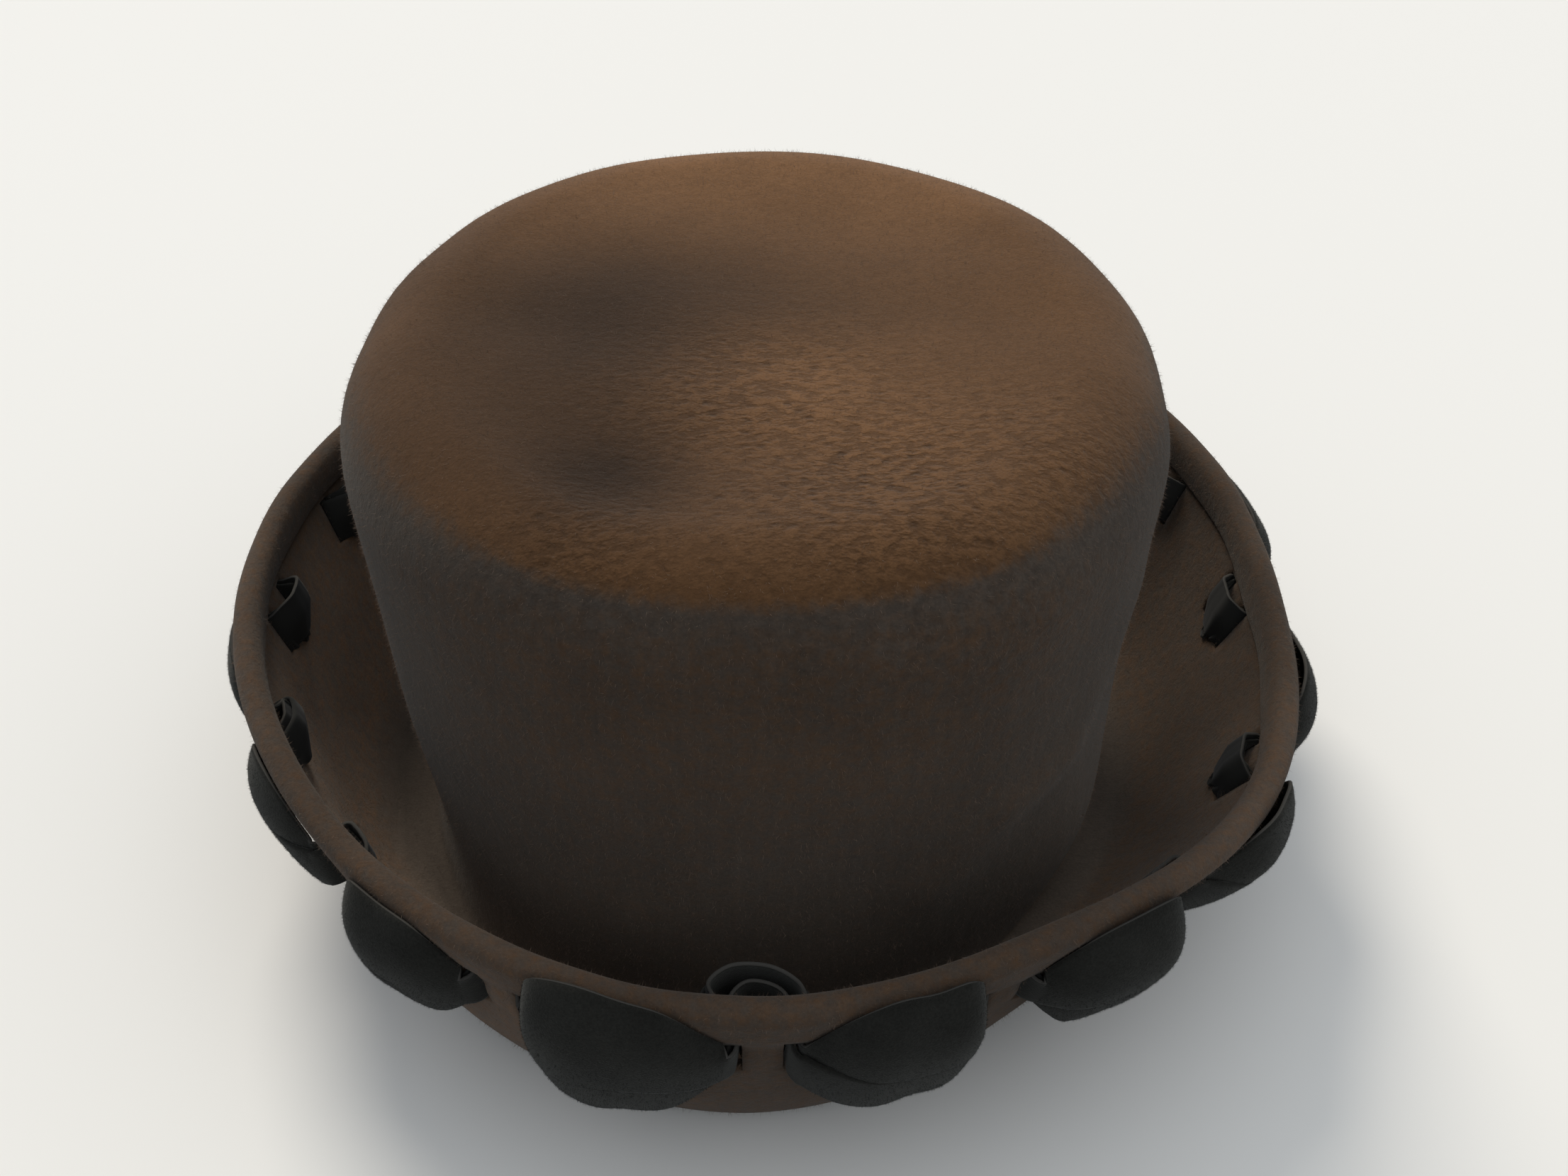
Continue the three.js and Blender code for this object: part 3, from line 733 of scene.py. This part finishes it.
# Stations along the ribbon: azimuth, distance off the brim, rise, drop, which puff or -1, and where in it.
stations = list(inner_stations(STRIPS[0], UNDER_END))
for number, strip in enumerate(STRIPS):
    puff = {name: values[number] for name, values in PUFFS.items()}
    last = number + 1 == len(STRIPS)
    following = STRIPS[0] + 360 if last else STRIPS[number + 1]
    start = beside_strip(strip, HALF_STRIP + EXIT_ALONG)
    end = beside_strip(following, -HALF_STRIP - EXIT_ALONG)
    for part, bulge, gain in [(0, None, EXIT_GAIN), *PUFF_PARTS, (1, None, EXIT_GAIN)]:
        moved = part + 4 * (puff["peak"] - 0.5) * part * (1 - part)
        out = EXIT_OUT if bulge is None else puff["bulge"] * bulge * MM
        rise = SLIT_HALF + gain * (puff["rise"] * MM - SLIT_HALF)
        drop = SLIT_HALF + gain * (puff["drop"] * MM - SLIT_HALF)
        stations.append((start + (end - start) * moved, out, rise, drop, number, part))
    shape = OVER_END if last else arch(PUFFS["tuck"][number + 1], PUFFS["sway"][number + 1])
    stations.extend(inner_stations(following, shape))
stations = np.array(stations, float)
station_puff, station_part = stations[:, 4], stations[:, 5]

# The line that the ribbon's middle follows, and which way is up and out along it.
place = np.linspace(0, len(stations) - 1, STEPS * (len(stations) - 1) + 1)
line_azimuth, away, rise, drop = through(stations[:, :4], place).T
_, brim_up, brim_inward, brim_top, _ = brim_at(line_azimuth)
off_brim = -in_space(brim_inward, line_azimuth)
line = in_space(brim_top - brim_up * SLIT_DEPTH, line_azimuth) + off_brim * away[:, None]
up_line = in_space(brim_up, line_azimuth)
side = unit(np.cross(unit(np.gradient(line, axis=0)), up_line))

station = np.floor(place).astype(int)
next_station = np.minimum(station + 1, len(stations) - 1)
puff_number = station_puff[station]
in_puff = (puff_number >= 0) & ((station_puff[next_station] >= 0) | (place == station))
part = np.interp(place, np.arange(len(stations)), station_part)
for number, where, depth, width in zip(*NOTCHES.values()):
    mine = in_puff & (puff_number == number)
    drop -= mine * depth * MM * np.exp(-(((part - where) / width) ** 2))

# Where it is narrower than it was cut, it is folded into three layers: 0 is flat, 1 is fully folded.
FOLD_STEPS = 41
LEAST_WALK = 2.02
PUFF_LAYER, ARCH_LAYER = 1.3 * MM, 1.22 * MM


def smoothed(values, reach):
    """A running mean over reach steps to either side."""
    count = 2 * reach + 1
    return np.convolve(np.pad(values, reach, "edge"), np.ones(count) / count, "valid")


v = np.linspace(-1, 1, ACROSS + 1)
u = (v + 1) / 2
fold_steps = np.linspace(0, 1, FOLD_STEPS)
fold_shapes = (1 - fold_steps)[:, None] * v - fold_steps[:, None] * np.cos(3 * math.pi * u)
walked_across = np.abs(np.diff(fold_shapes, axis=1)).sum(axis=1)
always_rising = np.linspace(0, 1e-3, FOLD_STEPS)
needed = np.maximum(2 * RIBBON_WIDTH / (rise + drop), LEAST_WALK)
folded = smoothed(np.interp(needed, walked_across + always_rising, fold_steps), 5)

# Each puff and each arch folds over to its own side, and unevenly.
rng = np.random.default_rng(21)
turned = np.zeros(len(place))
skewed = np.zeros(len(place))
middles_passed = np.cumsum(station_part == 0.5)
stretch = np.round(np.interp(place, np.arange(len(stations)), middles_passed)).astype(int)
for number in range(stretch.max() + 1):
    turned[stretch == number] = rng.choice((-1, 1))
    skewed[stretch == number] = rng.uniform(0.75, 1.35)
turned = smoothed(turned, 6)
skewed = smoothed(skewed, 12)
along_puff = np.clip(part, 0, 1)
u_moved = u[None, :] ** skewed[:, None]
shape = (1 - folded)[:, None] * (2 * u[None, :] - 1) - folded[:, None] * np.cos(3 * math.pi * u_moved)
layers = np.where(in_puff, PUFF_LAYER, ARCH_LAYER)
flat_middle = np.where(in_puff, np.clip(1 - np.sin(math.pi * along_puff) * 1.15, 0, 1), 1)
layered = (turned * layers * flat_middle)[:, None] * (2 * u_moved - 1)

# Plump across the puff, with its two edges turned in towards the felt. The upper edge lies closest, and
# is held to AGAINST less AGAINST_SLANT off the brim's middle.
CROWNED = 0.9 * MM
AGAINST, AGAINST_SLANT = 2.0 * MM, 0.25 * MM
INSIDE_LEAST, INSIDE_OVER = 1.9 * MM, 3 * MM

plump = np.where(in_puff, np.sin(math.pi * along_puff) ** 0.8, 0)
edge_wave = soft_waves(line, seed=14, length=13 * MM, height=1.1 * MM)
edge_wave = edge_wave[:, None] * plump[:, None] * np.abs(v)[None, :] ** 2
height = np.where(shape > 0, rise[:, None], drop[:, None]) * shape + edge_wave * np.sign(v)[None, :]
wave = soft_waves(line, seed=12, length=24 * MM, height=0.4 * MM)[:, None] * plump[:, None]
standing = away[:, None] + layered + wave + plump[:, None] * CROWNED * (1 - shape**2)
against = AGAINST - AGAINST_SLANT * (2 * u[None, :] - 1)
hug = np.clip(shape, 0, 1) ** 3 + 0.15 * np.clip(-shape, 0, 1) ** 2.6
hugged = standing - np.maximum(standing - against, 0) * hug
tucked = standing * (1 - 0.6 * np.clip(-shape, 0, 1))
tucked = np.minimum(tucked, -INSIDE_LEAST * np.clip(-away / INSIDE_OVER, 0, 1)[:, None])
pressed = np.where(in_puff[:, None], hugged, np.where(away[:, None] < 0, tucked, standing)) - standing
band = line[:, None] + side[:, None] * (standing - away[:, None])[..., None]
band += off_brim[:, None] * pressed[..., None] + up_line[:, None] * height[..., None]

# Behind a strip the ribbon is pinched along its length too, so that each arch ends in a point below.
strip_azimuths = np.array(STRIPS, float)
nearest = np.abs((line_azimuth[:, None] - strip_azimuths + 180) % 360 - 180).argmin(axis=1)
_, strip_up, _, strip_top, _ = brim_at(strip_azimuths)
strip_middle = in_space(strip_top - strip_up * SLIT_DEPTH, strip_azimuths)[nearest]
bearing = np.radians(strip_azimuths[nearest])
round_brim = np.stack([np.cos(bearing), np.sin(bearing), 0 * bearing], -1)
sideways = ((line - strip_middle) * round_brim).sum(-1, keepdims=True) * round_brim
clear = np.where(in_puff, 0, eased(above(-away, 0.4 * MM, 3.2 * MM)))
pointed = 0.6 * np.clip(-shape, 0, 1) ** 1.2 + 0.15 * np.clip(shape, 0, 1) ** 2
pointed[: STEPS * len(UNDER_END)] = 0
pointed[-STEPS * len(OVER_END) :] = 0
band -= (clear[:, None] * pointed)[..., None] * sideways[:, None]
band += CROWN_AXIS

faces = []
for row in range(len(place) - 1):
    for column in range(ACROSS):
        a = row * (ACROSS + 1) + column
        faces.append((a, a + ACROSS + 1, a + ACROSS + 2, a + 1))
ribbon = new_piece("velvet_band", band.reshape(-1, 3).tolist(), faces)
ribbon.data.polygons.foreach_set("use_smooth", [True] * len(faces))
thicken = ribbon.modifiers.new("pile", "SOLIDIFY")
thicken.thickness = RIBBON_THICKNESS
thicken.offset = 0
thicken.use_rim = True
thicken.material_offset = 1
thicken.material_offset_rim = 2

# The pile is black and soft, with a painted sheen that makes it paler seen edge-on. The woven back and the
# cut edges are plainer.
BLACK = (0.0172, 0.0168, 0.0142)
velvet_paint, tree, shader = new_paint(
    "black_velvet",
    {
        "Roughness": 0.9,
        "Specular IOR Level": 0.03,
        "Sheen Weight": 0.12,
        "Sheen Roughness": 0.5,
        "Sheen Tint": (1.0, 1.0, 0.92, 1),
    },
)
on_velvet = node(tree, "TexCoord").outputs["Object"]
painted_edge_sheen = node(tree, "LayerWeight", {"Blend": 0.3}).outputs["Facing"]
shade = shaded(tree, 1.0, 0.35, noise(tree, 60, 3, on_velvet), 1.3)
shade = shaded(tree, shade, 0.5, noise(tree, 1900, 2, on_velvet), 1.0)
shade = shaded(tree, shade, 0.9, painted_edge_sheen, 0.55)
painted = node(tree, "VectorMath", {0: BLACK, "Scale": shade}, operation="SCALE")
tree.links.new(painted.outputs[0], shader.inputs["Base Color"])
bump = node(tree, "Bump", {"Distance": 0.00014, "Height": noise(tree, 2600, 3, on_velvet)})
tree.links.new(bump.outputs[0], shader.inputs["Normal"])

plain = {"Roughness": 0.9, "Specular IOR Level": 0.05}
woven = {"Base Color": (0.024, 0.0235, 0.021, 1), "Sheen Weight": 0.06, **plain}
cut = {"Base Color": (0.055, 0.052, 0.046, 1), **plain}
for paint in (velvet_paint, new_paint("ribbon_back", woven)[0], new_paint("ribbon_edge", cut)[0]):
    ribbon.data.materials.append(paint)

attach(ribbon, "root")
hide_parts("velvet_ribbon")

# ---------------------------------------------------------------- nap
# The velour's own fibres, brushed up from the felt. They are about a millimetre long, lean mostly along
# the way they were brushed, and soften the hat's outline.
NAP_SHOWN, NAP_BELOW = 132000, 18000
NAP_SHORTEST, NAP_LONGEST = 0.5 * MM, 1.5 * MM
NAP_SCATTER, NAP_BRUSHED, NAP_UPRIGHT = 0.55, 0.45, 0.35
NAP_ROOTED = 0.1 * MM
FIBRE_HALF = 0.032 * MM


def scatter(rng, cells, along, across, count):
    """Roots spread evenly over a grid of cells, with the normal and the run of the cell at each."""
    normals = np.cross(along - cells, across - cells)
    area = np.linalg.norm(normals, axis=-1)
    normals /= np.maximum(area, 1e-12)[..., None]
    picked = rng.choice(area.size, size=count, p=(area / area.sum()).ravel())
    i, j = np.unravel_index(picked, area.shape)
    first, second = rng.random(count)[:, None], rng.random(count)[:, None]
    run = along[i, j] - cells[i, j]
    roots = cells[i, j] + first * run + second * (across[i, j] - cells[i, j])
    return roots, normals[i, j], run


def new_fibres(name, foot, wide, tips):
    """Loose thin triangles, one for each fibre. Any that would reach through the floor is left out."""
    ends = np.stack([foot - wide * FIBRE_HALF, foot + wide * FIBRE_HALF, tips], 1)
    ends = ends[ends[..., 2].min(axis=1) > 0].reshape(-1, 3)
    return new_piece(name, ends.tolist(), np.arange(len(ends)).reshape(-1, 3).tolist())


rng = np.random.default_rng(5)
brim_outside = lower[-(bowl_count + straight_count) :][::-1]
found = []
for grid, count in ((np.concatenate([upper, hem]), NAP_SHOWN), (brim_outside, NAP_BELOW)):
    found.append(scatter(rng, grid[:-1], grid[1:], np.roll(grid[:-1], -1, axis=1), count))
roots, normals, runs = map(np.concatenate, zip(*found))
leaning = normals + rng.normal(size=roots.shape) * NAP_SCATTER + NAP_BRUSHED * unit(runs)
leaning -= np.minimum((leaning * normals).sum(-1, keepdims=True) - NAP_UPRIGHT, 0) * normals
leaning = unit(leaning)
length = rng.uniform(NAP_SHORTEST / MM, NAP_LONGEST / MM, len(roots))[:, None] * MM
wide = unit(np.cross(leaning, rng.normal(size=roots.shape)))
foot = roots + CROWN_AXIS - leaning * NAP_ROOTED
nap_piece = new_fibres("nap", foot, wide, foot + leaning * length)
fibre_paint, _, _ = new_paint("felt_fibre", {"Base Color": (0.15, 0.1, 0.066, 1), "Roughness": 0.8})
nap_piece.data.materials.append(fibre_paint)
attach(nap_piece, "root")

# ---------------------------------------------------------------- velvet pile
# The pile of the velvet, woven into the ribbon and cut short, so that it stands upright. It reaches up
# to about half a millimetre off the outer face of each puff.
PILE_COUNT = 120000
PILE_SCATTER = 0.4
PILE_ROOTED = 0.35 * MM

rng = np.random.default_rng(8)
shown = in_puff[:-1] & in_puff[1:]
cells, along, across_band = band[:-1, :-1][shown], band[1:, :-1][shown], band[:-1, 1:][shown]
roots, normals, _ = scatter(rng, cells, along, across_band, PILE_COUNT)
leaning = unit(normals + rng.normal(size=roots.shape) * PILE_SCATTER)
wide = unit(np.cross(leaning, rng.normal(size=roots.shape)))
foot = roots + normals * PILE_ROOTED
length = rng.uniform(0.3, 0.62, PILE_COUNT)[:, None] * MM
pile_piece = new_fibres("velvet_pile", foot, wide, foot + leaning * length)
pile_piece.data.materials.append(velvet_paint)
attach(pile_piece, "root")
